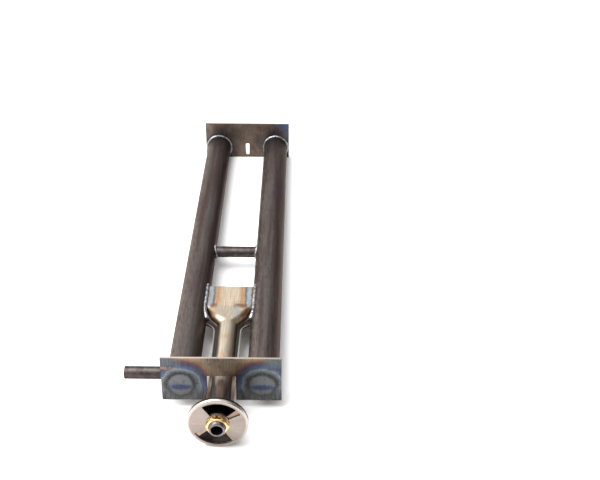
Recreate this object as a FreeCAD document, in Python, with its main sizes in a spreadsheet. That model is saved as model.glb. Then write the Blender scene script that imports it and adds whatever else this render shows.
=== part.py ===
# Twin-tube gas burner: two closed tubes between end plates, fed by a stamped venturi.
# Millimetres, +Z up.  Origin: centre of the gas inlet's mouth.  Gas flows along +Y.
import FreeCAD, Part
import math
import os
import re
import Sketcher

Vector = FreeCAD.Vector
Rotation = FreeCAD.Rotation
Placement = FreeCAD.Placement

doc = FreeCAD.newDocument("TwinTubeBurner")

# Driving dimensions, in millimetres and degrees.
sizes = {
    # burner tubes
    "tubeDiameter": 31.75, "tubeWall": 1.65, "tubePitch": 78.8, "tubeLength": 517.8, "tubeDrop": 1.4,
    "portDiameter": 1.6, "portSpacing": 8, "portCount": 60, "portStart": 30, "portAngle": 50,
    # end plates
    "plateWidth": 116.2, "plateHeight": 51.6, "plateSheet": 1.9, "plateFront": 62.6,
    "notchWidth": 27.9, "notchHeight": 29.8,
    "slotWidth": 5.2, "slotLength": 18, "slotLift": 3.2, "slotCorner": 2.4,
    # small tubes
    "pipeDiameter": 12.7, "pipeWall": 1.2, "crossBack": 242, "lighterBack": 19.4, "lighterEnd": 97,
    # venturi
    "venturiSheet": 1.2, "mouthRadius": 12.4, "throatRadius": 9.5, "throatExit": 10.2,
    "mouthPlace": 24, "throatPlace": 48, "flareStart": 156, "flareMiddle": 167,
    "boxStart": 188.6, "boxEnd": 222.6, "boxWidth": 53.2, "boxHeight": 16.4, "boxCorner": 3,
    "flareWidth": 35, "flareHeight": 19.4, "flareCorner": 8.5, "flareFlat": 0.2,
    "flangeStart": 37, "flangeFront": 13, "flangeRear": 14.2, "flangeWide": 25,
    "flangeTurn": 148, "flangeArc": 14,
    "feedLength": 27, "feedHeight": 9,
    # mixer and air shutter
    "shutterRadius": 28.575, "shutterSheet": 1.4, "shutterPlace": 8.6, "shutterTurn": 14,
    "dishBend": 2.2, "dishDepth": 2.7, "windowInner": 11.7, "windowOuter": 24.4, "windowAngle": 96,
    "faceSheet": 1.3, "faceRadius": 26.3, "faceGap": 0.1,
    "bellSeat": 2.6, "bellRim": 2.2, "bellLap": 1.2, "bellCollar": 13.9, "bellNeck": 22, "bellEnd": 28.5,
    # gas fitting
    "spudRadius": 7.5, "spudBore": 5.6, "spudEdge": 0.6, "spudShoulder": 4, "spudNose": 6.5, "spudEnd": 27,
    "jetSeat": 20, "jetHole": 1.1, "jetStep": 1.6, "jetTip": 3.2, "jetCone": 1.6, "threadGap": 0.05,
    "hexFlats": 19, "hexRelief": 0.5, "nutFlats": 20.4, "nutLength": 3.6, "nutPlace": 3.8,
    "nutChamfer": 0.9, "nutLand": 0.2, "nutSpare": 0.1,
    "washerSheet": 1, "washerRadius": 10.6, "washerSplit": 1.4, "washerSlack": 0.3,
    # weld beads
    "ringLeg": 2.7, "ringBend": 1.2, "ringTrim": 0.5, "pipeLeg": 2, "pipeSpare": 0.5,
    "beadRadius": 2.3, "beadStart": 167, "beadEnd": 226.4, "beadLow": 2.2, "beadHigh": 8.6,
    "beadLead": 6, "beadInset": 1.6, "beadRise": 6.2, "beadRun": 8,
}

sheet = doc.addObject("Spreadsheet::Sheet", "Sizes")
for row, (alias, size) in enumerate(sizes.items(), start=1):
    sheet.set("A%d" % row, alias)
    sheet.set("B%d" % row, str(size))
    sheet.setAlias("B%d" % row, alias)
doc.recompute()


def inSheet(text):
    """Point every named size in an expression at the sheet's cell."""
    return re.sub(r"[A-Za-z]\w*", lambda word: "Sizes." * (word.group() in sizes) + word.group(), text)


def value(text):
    return float(sheet.evalExpression(inSheet(text)))


def bind(thing, **expressions):
    """Bind properties to expressions on the sheet; x, y and z are the thing's place."""
    for name, text in expressions.items():
        path = "Placement.Base." + name if name in "xyz" else name
        thing.setExpression(path, inSheet(text))
    return thing


# ---------------------------------------------------------------- Part primitives and booleans

along = {
    "x": Rotation(Vector(0, 1, 0), 90),
    "y": Rotation(Vector(1, 0, 0), -90),
    "z": Rotation(),
}


def cylinder(name, radius, length, axis, x="0", y="0", z="0"):
    thing = doc.addObject("Part::Cylinder", name)
    thing.Placement = Placement(Vector(), along[axis])
    return bind(thing, Radius=radius, Height=length, x=x, y=y, z=z)


def box(name, length, width, height, x, y, z):
    thing = doc.addObject("Part::Box", name)
    return bind(thing, Length=length, Width=width, Height=height, x=x, y=y, z=z)


def cut(name, base, tool):
    thing = doc.addObject("Part::Cut", name)
    thing.Base = base
    thing.Tool = tool
    return thing


# ---------------------------------------------------------------- PartDesign bodies

def newBody(name):
    return doc.addObject("PartDesign::Body", name)


def plane(body, role):
    return next(thing for thing in body.Origin.OriginFeatures if thing.Role == role)


def newSketch(body, name, role, offset="0", rise="0", turn=None):
    """A sketch on one of the body's planes, moved along its normal, raised in it and turned."""
    sketch = body.newObject("Sketcher::SketchObject", body.Name + name)
    sketch.AttachmentSupport = [(plane(body, role), "")]
    sketch.MapMode = "FlatFace"
    sketch.AttachmentOffset = Placement(Vector(), turn or Rotation())
    sketch.setExpression("AttachmentOffset.Base.z", inSheet(offset))
    sketch.setExpression("AttachmentOffset.Base.y", inSheet(rise))
    return sketch


def constrain(sketch, links, measures):
    """Add plain links, then measures (kind, place, expression), each bound to its expression."""
    for link in links:
        sketch.addConstraint(Sketcher.Constraint(*link))
    made = [Sketcher.Constraint(kind, *place, value(text)) for kind, place, text in measures]
    for index, (kind, place, text) in zip(sketch.addConstraint(made), measures):
        sketch.setExpression("Constraints[%d]" % index, inSheet(text))


def placed(edge, end, point):
    """The two measures that hold one end of an edge at a point given as expressions."""
    return [("DistanceX", (-1, 1, edge, end), point[0]), ("DistanceY", (-1, 1, edge, end), point[1])]


def arcBetween(first, last, radius):
    """The short arc between two points; a negative radius bulges to the right of the way along."""
    chord = last - first
    left = Vector(-chord.y, chord.x, 0).normalize()
    depth = max(radius ** 2 - chord.Length ** 2 / 4, 0) ** 0.5
    centre = (first + last) * 0.5 + left * (depth if radius < 0 else -depth)
    start, stop = (first, last) if radius < 0 else (last, first)
    angles = [math.atan2(spot.y - centre.y, spot.x - centre.x) for spot in (start, stop)]
    return Part.ArcOfCircle(Part.Circle(centre, Vector(0, 0, 1), abs(radius)), *angles)


def outline(sketch, points):
    """A closed outline through points (x, y) or (x, y, radius): a radius bends the edge that follows."""
    spots = [Vector(value(point[0]), value(point[1]), 0) for point in points]
    ends, links, measures = [], [], []
    for number, point in enumerate(points):
        start, stop = spots[number], spots[(number + 1) % len(points)]
        radius = value(point[2]) if len(point) == 3 else 0
        geometry = arcBetween(start, stop, radius) if radius else Part.LineSegment(start, stop)
        edge = sketch.addGeometry(geometry, False)
        ends.append((edge, 2, 1) if radius > 0 else (edge, 1, 2))
        if radius:
            measures.append(("Radius", (edge,), point[2].lstrip("-")))
    for number, (edge, entry, leave) in enumerate(ends):
        earlier = ends[number - 1]
        links.append(("Coincident", earlier[0], earlier[2], edge, entry))
        measures += placed(edge, entry, points[number])
    constrain(sketch, links, measures)


def circle(sketch, radius, centre=("0", "0")):
    edge = sketch.addGeometry(Part.Circle(Vector(value(centre[0]), value(centre[1]), 0),
                                          Vector(0, 0, 1), value(radius)), False)
    constrain(sketch, [], placed(edge, 3, centre) + [("Radius", (edge,), radius)])


def rectangle(sketch, left, right, low, high):
    outline(sketch, [(left, low), (right, low), (right, high), (left, high)])


def feature(body, kind, sketch, name, **settings):
    thing = body.newObject("PartDesign::" + kind, body.Name + name)
    thing.Profile = sketch
    for key, setting in settings.items():
        if isinstance(setting, str) and key in ("Length", "Angle"):
            bind(thing, **{key: setting})
        else:
            setattr(thing, key, setting)
    body.Tip = thing
    return thing


def revolved(body, points, name="Turned", kind="Revolution"):
    """Turn an outline of (radius, y) points about the body's Y axis."""
    sketch = newSketch(body, name + "Profile", "XY_Plane")
    outline(sketch, points)
    return feature(body, kind, sketch, name, ReferenceAxis=(sketch, ["V_Axis"]), Angle=360)


def roundedRectangle(sketch, width, height, corner):
    """A rounded rectangle about the sketch's origin."""
    right, top = "(%s) / 2" % width, "(%s) / 2" % height
    inX, inY = "(%s) / 2 - (%s)" % (width, corner), "(%s) / 2 - (%s)" % (height, corner)
    bend = "-(%s)" % corner
    outline(sketch, [
        ("-(%s)" % inX, "-(%s)" % top), (inX, "-(%s)" % top, bend),
        (right, "-(%s)" % inY), (right, inY, bend),
        (inX, top), ("-(%s)" % inX, top, bend),
        ("-(%s)" % right, inY), ("-(%s)" % right, "-(%s)" % inY, bend),
    ])


def hexagon(sketch, flats):
    """A hexagon with two flats level."""
    reach, half = "(%s) / sqrt(3)" % flats, "(%s) / 2" % flats
    side = "(%s) / sqrt(3) / 2" % flats
    outline(sketch, [(reach, "0"), (side, half), ("-(%s)" % side, half),
                     ("-(%s)" % reach, "0"), ("-(%s)" % side, "-(%s)" % half), (side, "-(%s)" % half)])


def allThrough(body, sketch, name, **settings):
    return feature(body, "Pocket", sketch, name, Type="ThroughAll", Midplane=True, **settings)


subParts = []


def keep(thing, label):
    thing.Label = label
    subParts.append(thing)
    return thing


# ---------------------------------------------------------------- shared places

tubeRadius = "tubeDiameter / 2"
tubeStart = "plateFront + plateSheet"
plateBottom = "-tubeDrop - tubeDiameter / 2"
crossPlace = "plateFront + plateSheet + crossBack"
lighterPlace = "plateFront + plateSheet + lighterBack"
facePlace = "shutterPlace + shutterSheet + faceGap"
bellPlace = "shutterPlace + shutterSheet + faceGap + faceSheet"
washerPlace = "shutterPlace - washerSheet - faceGap"
sides = {"left": -1, "right": 1}


def tubeEnvelope(name, side):
    """The outside of a burner tube, as a tool for coping what meets it."""
    return cylinder(name, tubeRadius, "tubeLength", "y", "%d * tubePitch / 2" % side, tubeStart, "-tubeDrop")


# ---------------------------------------------------------------- burner tubes

def burnerTube(label, side):
    """A tube along +Y from its own origin, with two rows of ports low on its sides."""
    body = newBody(label)
    ring = newSketch(body, "Ring", "XZ_Plane")
    circle(ring, tubeRadius)
    circle(ring, tubeRadius + " - tubeWall")
    feature(body, "Pad", ring, "Wall", Length="tubeLength", Reversed=True)
    for row, lean in (("Inner", -side), ("Outer", side)):
        turn = Rotation(Vector(0, 1, 0), 180 - lean * sizes["portAngle"])
        dot = newSketch(body, row + "Port", "XY_Plane", turn=turn)
        circle(dot, "portDiameter / 2", ("0", "portStart"))
        port = feature(body, "Pocket", dot, row + "Drill", Length="tubeDiameter", Reversed=True)
        rowOfPorts = body.newObject("PartDesign::LinearPattern", body.Name + row + "Row")
        rowOfPorts.Originals = [port]
        rowOfPorts.Direction = (dot, ["V_Axis"])
        rowOfPorts.Occurrences = int(sizes["portCount"])
        bind(rowOfPorts, Length="portSpacing * (portCount - 1)")
        body.Tip = rowOfPorts
    inward = side < 0
    feed = newSketch(body, "Feed", "YZ_Plane")
    middle = "(boxStart + boxEnd) / 2 - (%s)" % tubeStart
    rectangle(feed, middle + " - feedLength / 2", middle + " + feedLength / 2",
              "tubeDrop - feedHeight / 2", "tubeDrop + feedHeight / 2")
    feature(body, "Pocket", feed, "FeedOpening", Length="tubeDiameter", Reversed=inward)
    cross = newSketch(body, "Cross", "YZ_Plane")
    circle(cross, "pipeDiameter / 2 - pipeWall", ("crossBack", "0"))
    feature(body, "Pocket", cross, "CrossOpening", Length="tubeDiameter", Reversed=inward)
    if label == "left_tube":
        lighter = newSketch(body, "Lighter", "YZ_Plane")
        circle(lighter, "pipeDiameter / 2 - pipeWall", ("lighterBack", "0"))
        feature(body, "Pocket", lighter, "LighterOpening", Length="tubeDiameter", Reversed=not inward)
    return bind(body, x="%d * tubePitch / 2" % side, y=tubeStart, z="-tubeDrop")


for sideName, sideSign in sides.items():
    keep(burnerTube(sideName + "_tube", sideSign), sideName + "_tube")


# ---------------------------------------------------------------- end plates

def endPlate(label, points):
    """A flat plate standing on its own X axis, one sheet thick along +Y."""
    body = newBody(label)
    shape = newSketch(body, "Shape", "XZ_Plane")
    outline(shape, points)
    feature(body, "Pad", shape, "Blank", Length="plateSheet", Reversed=True)
    return body


halfWidth, halfNotch = "plateWidth / 2", "notchWidth / 2"
frontPlate = endPlate("front_plate", [
    ("-" + halfWidth, "0"), ("-" + halfNotch, "0"), ("-" + halfNotch, "notchHeight"),
    (halfNotch, "notchHeight"), (halfNotch, "0"), (halfWidth, "0"),
    (halfWidth, "plateHeight"), ("-" + halfWidth, "plateHeight"),
])
keep(bind(frontPlate, y="plateFront", z=plateBottom), "front_plate")

rearPlate = endPlate("rear_plate", [
    ("-" + halfWidth, "0"), (halfWidth, "0"), (halfWidth, "plateHeight"), ("-" + halfWidth, "plateHeight"),
])
slotSketch = newSketch(rearPlate, "Slot", "XZ_Plane", rise="slotLift + slotLength / 2")
roundedRectangle(slotSketch, "slotWidth", "slotLength", "slotCorner")
allThrough(rearPlate, slotSketch, "SlotCut")
keep(bind(rearPlate, y=tubeStart + " + tubeLength", z=plateBottom), "rear_plate")


# ---------------------------------------------------------------- cross tube and lighter tube

def copedPipe(label, length, x, y, tubes):
    """A small tube along +X whose ends are cut to the burner tubes' curve."""
    outer = cylinder(label + "Outer", "pipeDiameter / 2", length, "x", x, y, "-tubeDrop")
    inner = cylinder(label + "Inner", "pipeDiameter / 2 - pipeWall", length, "x", x, y, "-tubeDrop")
    pipe = cut(label + "Pipe", outer, inner)
    for side in tubes:
        pipe = cut(label + "Cope%d" % (side + 1), pipe, tubeEnvelope(label + "Tool%d" % (side + 1), side))
    return keep(pipe, label)


copedPipe("cross_tube", "tubePitch - tubeDiameter / 2", "(tubeDiameter / 2 - tubePitch) / 2",
          crossPlace, (-1, 1))
copedPipe("lighter_tube", "lighterEnd - tubePitch / 2 - tubeDiameter / 4", "-lighterEnd", lighterPlace, (-1,))


# ---------------------------------------------------------------- venturi

def boreProfile(skin):
    """The round inlet and throat, as (radius, y) points, one skin inside the outer surface."""
    rise, run = "(mouthRadius - throatRadius)", "(throatPlace - mouthPlace)"
    bend = "(%s ^ 2 + %s ^ 2) / (2 * %s)" % (rise, run, rise)
    return [("0", "mouthPlace"), ("mouthRadius - %s" % skin, "mouthPlace", bend),
            ("throatRadius - %s" % skin, "throatPlace"), ("throatExit - %s" % skin, "flareStart"),
            ("0", "flareStart")]


def flareSections(body, name, skin):
    """Three sections that carry the round throat into the wide, flat box."""
    sections = []
    for number, (place, width, height, corner) in enumerate((
            ("flareStart", "2 * throatExit", "2 * throatExit", "throatExit - flareFlat"),
            ("flareMiddle", "flareWidth", "flareHeight", "flareCorner"),
            ("boxStart", "boxWidth", "boxHeight", "boxCorner"))):
        sketch = newSketch(body, "%s%d" % (name, number), "XZ_Plane", "-(%s)" % place)
        roundedRectangle(sketch, "%s - 2 * %s" % (width, skin), "%s - 2 * %s" % (height, skin),
                         "%s - %s" % (corner, skin))
        sections.append(sketch)
    return sections


def venturiHalf(label, side):
    """One stamping: half the throat, half the box and the flat flange that joins it to its twin."""
    body = newBody(label + "_stamping")
    revolved(body, boreProfile("0"), "Throat")
    outside = flareSections(body, "Flare", "0")
    feature(body, "AdditiveLoft", outside[0], "FlareOutside", Sections=outside[1:])
    feature(body, "Pad", outside[2], "BoxOutside", Length="boxEnd - boxStart", Reversed=True)
    flange = newSketch(body, "Flange", "XY_Plane")
    outline(flange, [
        ("flangeFront", "flangeStart"), ("flangeRear", "flangeTurn", "flangeArc"),
        ("flangeWide", "flangeTurn + flangeArc"), ("flangeWide", "boxEnd"),
        ("-flangeWide", "boxEnd"), ("-flangeWide", "flangeTurn + flangeArc", "flangeArc"),
        ("-flangeRear", "flangeTurn"), ("-flangeFront", "flangeStart"),
    ])
    feature(body, "Pad", flange, "FlangeSheet", Length="2 * venturiSheet", Midplane=True)
    revolved(body, boreProfile("venturiSheet"), "Bore", "Groove")
    inside = flareSections(body, "Hollow", "venturiSheet")
    feature(body, "SubtractiveLoft", inside[0], "FlareInside", Sections=inside[1:])
    feature(body, "Pocket", inside[2], "BoxInside", Length="boxEnd - boxStart - venturiSheet")
    spare = newSketch(body, "Spare", "XY_Plane")
    rectangle(spare, "-boxWidth", "boxWidth", "0", "boxEnd + venturiSheet")
    feature(body, "Pocket", spare, "OtherHalf", Length="boxWidth", Reversed=side < 0)
    half = body
    for tube in sides.values():
        half = cut("%sCope%d" % (label, tube + 1), half, tubeEnvelope("%sTool%d" % (label, tube + 1), tube))
    return keep(half, label)


venturiTop = venturiHalf("venturi_top_half", 1)
venturiBottom = venturiHalf("venturi_bottom_half", -1)


# ---------------------------------------------------------------- mixer and air shutter

def window(sketch, middle):
    """A sector-shaped window about the sketch's origin, centred on an angle."""
    outer, inner, corners = "windowOuter", "windowInner", []
    for radius, way in ((outer, "-"), (outer, "+"), (inner, "+"), (inner, "-")):
        turned = "(%s %s windowAngle / 2) * 1 deg" % (middle, way)
        corners.append(("%s * cos(%s)" % (radius, turned), "%s * sin(%s)" % (radius, turned)))
    corners[0] += ("-windowOuter",)
    corners[2] += ("windowInner",)
    outline(sketch, corners)


def windowedDisc(label, points, turn):
    """A turned disc with two opposite windows, along +Y from its own origin."""
    body = newBody(label)
    revolved(body, points)
    for number, middle in enumerate(("90 - %s" % turn, "270 - %s" % turn)):
        opening = newSketch(body, "Window%d" % number, "XZ_Plane")
        window(opening, middle)
        allThrough(body, opening, "Opening%d" % number)
    return body


discHole = "spudRadius + threadGap"
dishInside = "shutterRadius - shutterSheet"
shutter = windowedDisc("air_shutter", [
    (discHole, "0"), ("shutterRadius - dishBend", "0", "-dishBend"), ("shutterRadius", "dishBend"),
    ("shutterRadius", "dishDepth"), (dishInside, "dishDepth"),
    (dishInside, "dishBend", "dishBend - shutterSheet"), ("shutterRadius - dishBend", "shutterSheet"),
    (discHole, "shutterSheet"),
], "shutterTurn")
keep(bind(shutter, y="shutterPlace"), "air_shutter")
mixerFace = windowedDisc("mixer_face", [
    (discHole, "0"), ("faceRadius", "0"), ("faceRadius", "faceSheet"), (discHole, "faceSheet"),
], "0")
keep(bind(mixerFace, y=facePlace), "mixer_face")

bell = newBody("mixer_bell")
revolved(bell, [
    ("shutterRadius - bellSeat", "0"), ("shutterRadius", "0"), ("shutterRadius", "bellRim"),
    ("bellCollar", "bellNeck - (%s)" % bellPlace), ("bellCollar", "bellEnd - (%s)" % bellPlace),
    ("mouthRadius + threadGap", "bellEnd - (%s)" % bellPlace),
    ("mouthRadius + threadGap", "bellNeck - bellLap - (%s)" % bellPlace),
])
keep(bind(bell, y=bellPlace), "mixer_bell")


# ---------------------------------------------------------------- gas fitting

spud = newBody("orifice_spud")
revolved(spud, [
    ("spudBore", "0"), ("spudRadius - spudEdge", "0"), ("spudRadius", "spudEdge"), ("spudRadius", bellPlace),
    ("spudNose", bellPlace), ("spudNose", "spudEnd"), ("spudBore - jetStep", "spudEnd"),
    ("spudBore - jetStep", "jetSeat"), ("spudBore", "jetSeat"),
])
hexSketch = newSketch(spud, "Hex", "XZ_Plane", "-(%s)" % bellPlace)
hexagon(hexSketch, "hexFlats")
circle(hexSketch, "spudBore + hexRelief")
feature(spud, "Pad", hexSketch, "Shoulder", Length="spudShoulder", Reversed=True)
keep(spud, "orifice_spud")

jet = newBody("gas_jet")
jetRadius = "spudBore - jetStep - threadGap"
revolved(jet, [
    ("jetHole", "0"), (jetRadius, "0"), (jetRadius, "spudEnd - jetSeat"),
    ("jetTip", "spudEnd - jetSeat + jetCone"), ("jetHole", "spudEnd - jetSeat + jetCone"),
])
keep(bind(jet, y="jetSeat"), "gas_jet")

nut = newBody("lock_nut")
nutSketch = newSketch(nut, "Hex", "XZ_Plane")
hexagon(nutSketch, "nutFlats")
circle(nutSketch, discHole)
feature(nut, "Pad", nutSketch, "Blank", Length="nutLength", Reversed=True)
nutReach = "nutFlats / sqrt(3) + nutSpare"
for chamferName, end, inward in (("Front", "0", "nutChamfer"),
                                 ("Rear", "nutLength", "nutLength - nutChamfer")):
    revolved(nut, [("nutFlats / 2 - nutLand", end), (nutReach, end), (nutReach, inward)],
             chamferName + "Chamfer", "Groove")
keep(bind(nut, y="nutPlace"), "lock_nut")

washerRing = cylinder("washerRing", "washerRadius", "washerSheet", "y", y=washerPlace)
washerHole = cylinder("washerHole", "spudRadius + washerSlack", "washerSheet", "y", y=washerPlace)
washerGap = box("washerGap", "washerSplit", "washerSheet", "washerRadius",
                "-washerSplit / 2", washerPlace, "0")
keep(cut("springWasher", cut("washerBlank", washerRing, washerHole), washerGap), "spring_washer")


# ---------------------------------------------------------------- weld beads

def plateWeld(label, side, place, away):
    """A fillet round a burner tube where it meets an end plate, trimmed just above the plate's lower edge."""
    body = newBody(label)
    revolved(body, [(tubeRadius, "0"), (tubeRadius + " + ringLeg", "0", "-ringBend * ringLeg"),
                    (tubeRadius, "ringLeg")])
    under = newSketch(body, "Under", "XY_Plane", "ringTrim - %s" % tubeRadius)
    rectangle(under, "-tubeDiameter", "tubeDiameter", "-ringLeg", "2 * ringLeg")
    feature(body, "Pocket", under, "Trim", Length="tubeDiameter")
    body.Placement = Placement(Vector(), Rotation(Vector(0, 0, 1), 0 if away > 0 else 180))
    return keep(bind(body, x="%d * tubePitch / 2" % side, y=place, z="-tubeDrop"), label)


for sideName, sideSign in sides.items():
    plateWeld("weld_front_" + sideName, sideSign, tubeStart, 1)
    plateWeld("weld_rear_" + sideName, sideSign, tubeStart + " + tubeLength", -1)


def pipeWeld(label, tube, outward, y):
    """A collar of weld where a small tube runs into a burner tube."""
    reach = "tubePitch / 2 %s tubeDiameter / 2" % ("+" if outward == tube else "-")
    wide = cylinder(label + "Wide", "pipeDiameter / 2 + pipeLeg", "2 * (pipeLeg + pipeSpare)", "x",
                    "%d * (%s) - pipeLeg - pipeSpare" % (tube, reach), y, "-tubeDrop")
    bead = doc.addObject("Part::Chamfer", label + "Bead")
    bead.Base = wide
    doc.recompute()
    far = max if outward > 0 else min
    rim = far(enumerate(wide.Shape.Edges, start=1), key=lambda pair: pair[1].CenterOfMass.x)[0]
    bead.Edges = [(rim, value("pipeLeg"), value("pipeLeg"))]
    bore = cylinder(label + "Bore", "pipeDiameter / 2", "4 * pipeLeg", "x",
                    "%d * (%s) - 2 * pipeLeg" % (tube, reach), y, "-tubeDrop")
    hollow = cut(label + "Hollow", bead, bore)
    return keep(cut(label + "Coped", hollow, tubeEnvelope(label + "Tool", tube)), label)


pipeWeld("weld_cross_left", -1, 1, crossPlace)
pipeWeld("weld_cross_right", 1, -1, crossPlace)
pipeWeld("weld_lighter", -1, -1, lighterPlace)


def boxWeld(label, side):
    """The bead that runs back along the venturi box's upper edge, where it rests on a burner tube."""
    def spot(x, y, z):
        return Vector(side * value(x), value(y), value(z))

    inner = "tubePitch / 2 - tubeDiameter / 2"
    start = spot(inner, "beadStart", "beadLow")
    corner = spot("boxWidth / 2", "boxStart", "beadHigh")
    bend = Part.BezierCurve()
    bend.setPoles([start, spot(inner + " + beadInset", "beadStart + beadLead", "beadRise"),
                   spot("boxWidth / 2", "boxStart - beadRun", "beadHigh"), corner])
    straight = Part.LineSegment(corner, spot("boxWidth / 2", "beadEnd", "beadHigh"))
    ring = Part.Circle(start, bend.tangent(0)[0], value("beadRadius")).toShape()
    bead = Part.Wire([bend.toShape(), straight.toShape()]).makePipeShell([Part.Wire([ring])], True, False)
    thing = doc.addObject("Part::Feature", label + "_bead")
    thing.Shape = bead
    coped = cut(label + "Coped", thing, tubeEnvelope(label + "Tool", side))
    return keep(cut(label + "Seated", coped, venturiTop), label)


for sideName, sideSign in sides.items():
    boxWeld("weld_box_" + sideName, sideSign)


# ---------------------------------------------------------------- check and write

doc.recompute()
failed = [thing.Name for thing in doc.Objects if {"Invalid", "Error"} & set(thing.State)]
for thing in subParts:
    shape = thing.Shape
    if shape.isNull() or not shape.isValid() or not shape.Solids:
        failed.append(thing.Label)
if failed:
    raise RuntimeError("These did not build: " + ", ".join(failed))

os.makedirs("parts", exist_ok=True)
for thing in subParts:
    thing.Shape.exportStep("parts/%s.step" % thing.Label)
    print("%-20s %d solid  %9.1f mm3" % (thing.Label, len(thing.Shape.Solids), thing.Shape.Volume))
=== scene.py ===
import math

import bmesh
import bpy
import numpy as np
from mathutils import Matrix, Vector


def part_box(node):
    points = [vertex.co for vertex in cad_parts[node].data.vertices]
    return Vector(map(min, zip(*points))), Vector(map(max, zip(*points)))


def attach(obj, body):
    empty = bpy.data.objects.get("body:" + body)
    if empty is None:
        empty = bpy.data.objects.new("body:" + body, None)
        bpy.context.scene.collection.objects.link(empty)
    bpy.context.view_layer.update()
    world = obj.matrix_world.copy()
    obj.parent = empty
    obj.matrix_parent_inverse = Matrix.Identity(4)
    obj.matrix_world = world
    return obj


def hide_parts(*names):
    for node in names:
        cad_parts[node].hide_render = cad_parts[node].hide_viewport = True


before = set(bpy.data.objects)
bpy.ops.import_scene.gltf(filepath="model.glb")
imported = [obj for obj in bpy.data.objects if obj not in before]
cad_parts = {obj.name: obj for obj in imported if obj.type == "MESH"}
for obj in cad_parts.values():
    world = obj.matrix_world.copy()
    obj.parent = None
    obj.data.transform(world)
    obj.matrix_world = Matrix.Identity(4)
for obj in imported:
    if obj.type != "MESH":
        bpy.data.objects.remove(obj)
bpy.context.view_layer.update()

mm = 0.001  # lengths below are in millimetres, and go to metres when a mesh is made
tau = 2 * math.pi
print("frame: %d nodes" % len(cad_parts))


# Places, read from the frame

def nodeBox(node):
    low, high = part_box(node)
    return low / mm, high / mm


def middle(node):
    low, high = nodeBox(node)
    return (low + high) / 2


tubeLow, tubeHigh = nodeBox("right_tube")
tubeRadius = (tubeHigh.x - tubeLow.x) / 2
tubeX = (tubeHigh.x + tubeLow.x) / 2
tubeZ = (tubeHigh.z + tubeLow.z) / 2
tubeStart, tubeEnd = tubeLow.y, tubeHigh.y
tubeWall, pipeWall = 1.65, 1.2
crossLow, crossHigh = nodeBox("cross_tube")
pipeRadius = (crossHigh.z - crossLow.z) / 2
pipeBore = pipeRadius - pipeWall
crossY = middle("cross_tube").y
lighterY = middle("lighter_tube").y
lighterEnd = nodeBox("lighter_tube")[0].x
mouthY, boxEnd = (corner.y for corner in nodeBox("venturi_top_half"))
discLow, discHigh = nodeBox("air_shutter")
faceLow, faceHigh = nodeBox("mixer_face")


# Mesh helpers

def linked(name, data):
    piece = bpy.data.objects.new(name, data)
    bpy.context.scene.collection.objects.link(piece)
    return piece


def newObject(name, points, faces):
    mesh = bpy.data.meshes.new(name)
    mesh.from_pydata([tuple(point) for point in np.asarray(points, float) * mm], [], faces)
    return linked(name, mesh)


def gridFaces(rowCount, columnCount, loopRows, loopColumns):
    faces = []
    for row in range(rowCount if loopRows else rowCount - 1):
        below = (row + 1) % rowCount
        for column in range(columnCount if loopColumns else columnCount - 1):
            beside = (column + 1) % columnCount
            faces.append((row * columnCount + column, row * columnCount + beside,
                          below * columnCount + beside, below * columnCount + column))
    return faces


def gridObject(name, rows, loopRows=True, loopColumns=True, caps=False):
    rows = np.asarray(rows, float)
    faces = gridFaces(rows.shape[0], rows.shape[1], loopRows, loopColumns)
    if caps:  # one face over each open end of the rows
        last = (rows.shape[0] - 1) * rows.shape[1]
        faces += [tuple(range(rows.shape[1])), tuple(range(last, last + rows.shape[1]))]
    return newObject(name, rows.reshape(-1, 3), faces)


def tidyMesh(piece, recalculate=True):
    work = bmesh.new()
    work.from_mesh(piece.data)
    bmesh.ops.remove_doubles(work, verts=work.verts, dist=0.004 * mm)
    if recalculate:
        bmesh.ops.recalc_face_normals(work, faces=work.faces)
    work.to_mesh(piece.data)
    work.free()
    return piece


def applied(piece):
    # the evaluated piece as a plain mesh, with no modifier left
    graph = bpy.context.evaluated_depsgraph_get()
    mesh = bpy.data.meshes.new_from_object(piece.evaluated_get(graph), depsgraph=graph)
    name = piece.name
    if piece.type == "MESH":
        piece.modifiers.clear()
        piece.data = mesh
        return piece
    bpy.data.objects.remove(piece)
    return linked(name, mesh)


def bevelled(piece, width, segments=2, angle=32):
    bevel = piece.modifiers.new("Bevel", "BEVEL")
    bevel.width, bevel.segments = width * mm, segments
    bevel.limit_method, bevel.angle_limit = "ANGLE", math.radians(angle)
    bevel.use_clamp_overlap = True
    return applied(piece)


def thickened(piece, sheet, even=True):
    solid = piece.modifiers.new("Solidify", "SOLIDIFY")
    solid.thickness, solid.offset = sheet * mm, -1
    solid.use_even_offset = even
    return applied(piece)


def cutBy(piece, tool, solver="MANIFOLD"):
    modifier = piece.modifiers.new("Cut", "BOOLEAN")
    modifier.operation, modifier.solver, modifier.object = "DIFFERENCE", solver, tool
    applied(piece)
    bpy.data.objects.remove(tool)
    return piece


def joined(name, *pieces):
    work = bmesh.new()
    for piece in pieces:
        work.from_mesh(piece.data)
        bpy.data.objects.remove(piece)
    mesh = bpy.data.meshes.new(name)
    work.to_mesh(mesh)
    work.free()
    return linked(name, mesh)


def bow(first, turn, last, t):
    # a point on the curve from first to last that leans to turn
    return (1 - t) ** 2 * first + 2 * t * (1 - t) * turn + t ** 2 * last


def rounded(points, steps=5):
    # a closed outline; a third number on a point is how far back its corner is rounded
    path = []
    for number, point in enumerate(points):
        here = np.array(point[:2], float)
        back = len(point) == 3 and point[2] or 0
        if not back:
            path.append(here)
            continue
        before = np.array(points[number - 1][:2], float) - here
        after = np.array(points[(number + 1) % len(points)][:2], float) - here
        first = here + before / np.linalg.norm(before) * back
        last = here + after / np.linalg.norm(after) * back
        path += [bow(first, here, last, step / steps) for step in range(steps + 1)]
    return path


def ring(count):
    return [tau * number / count for number in range(count)]


def aboutY(radius, y, angle, x=0.0, z=0.0):
    # a point of a circle across the Y axis
    return x + radius * math.cos(angle), y, z + radius * math.sin(angle)


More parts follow.
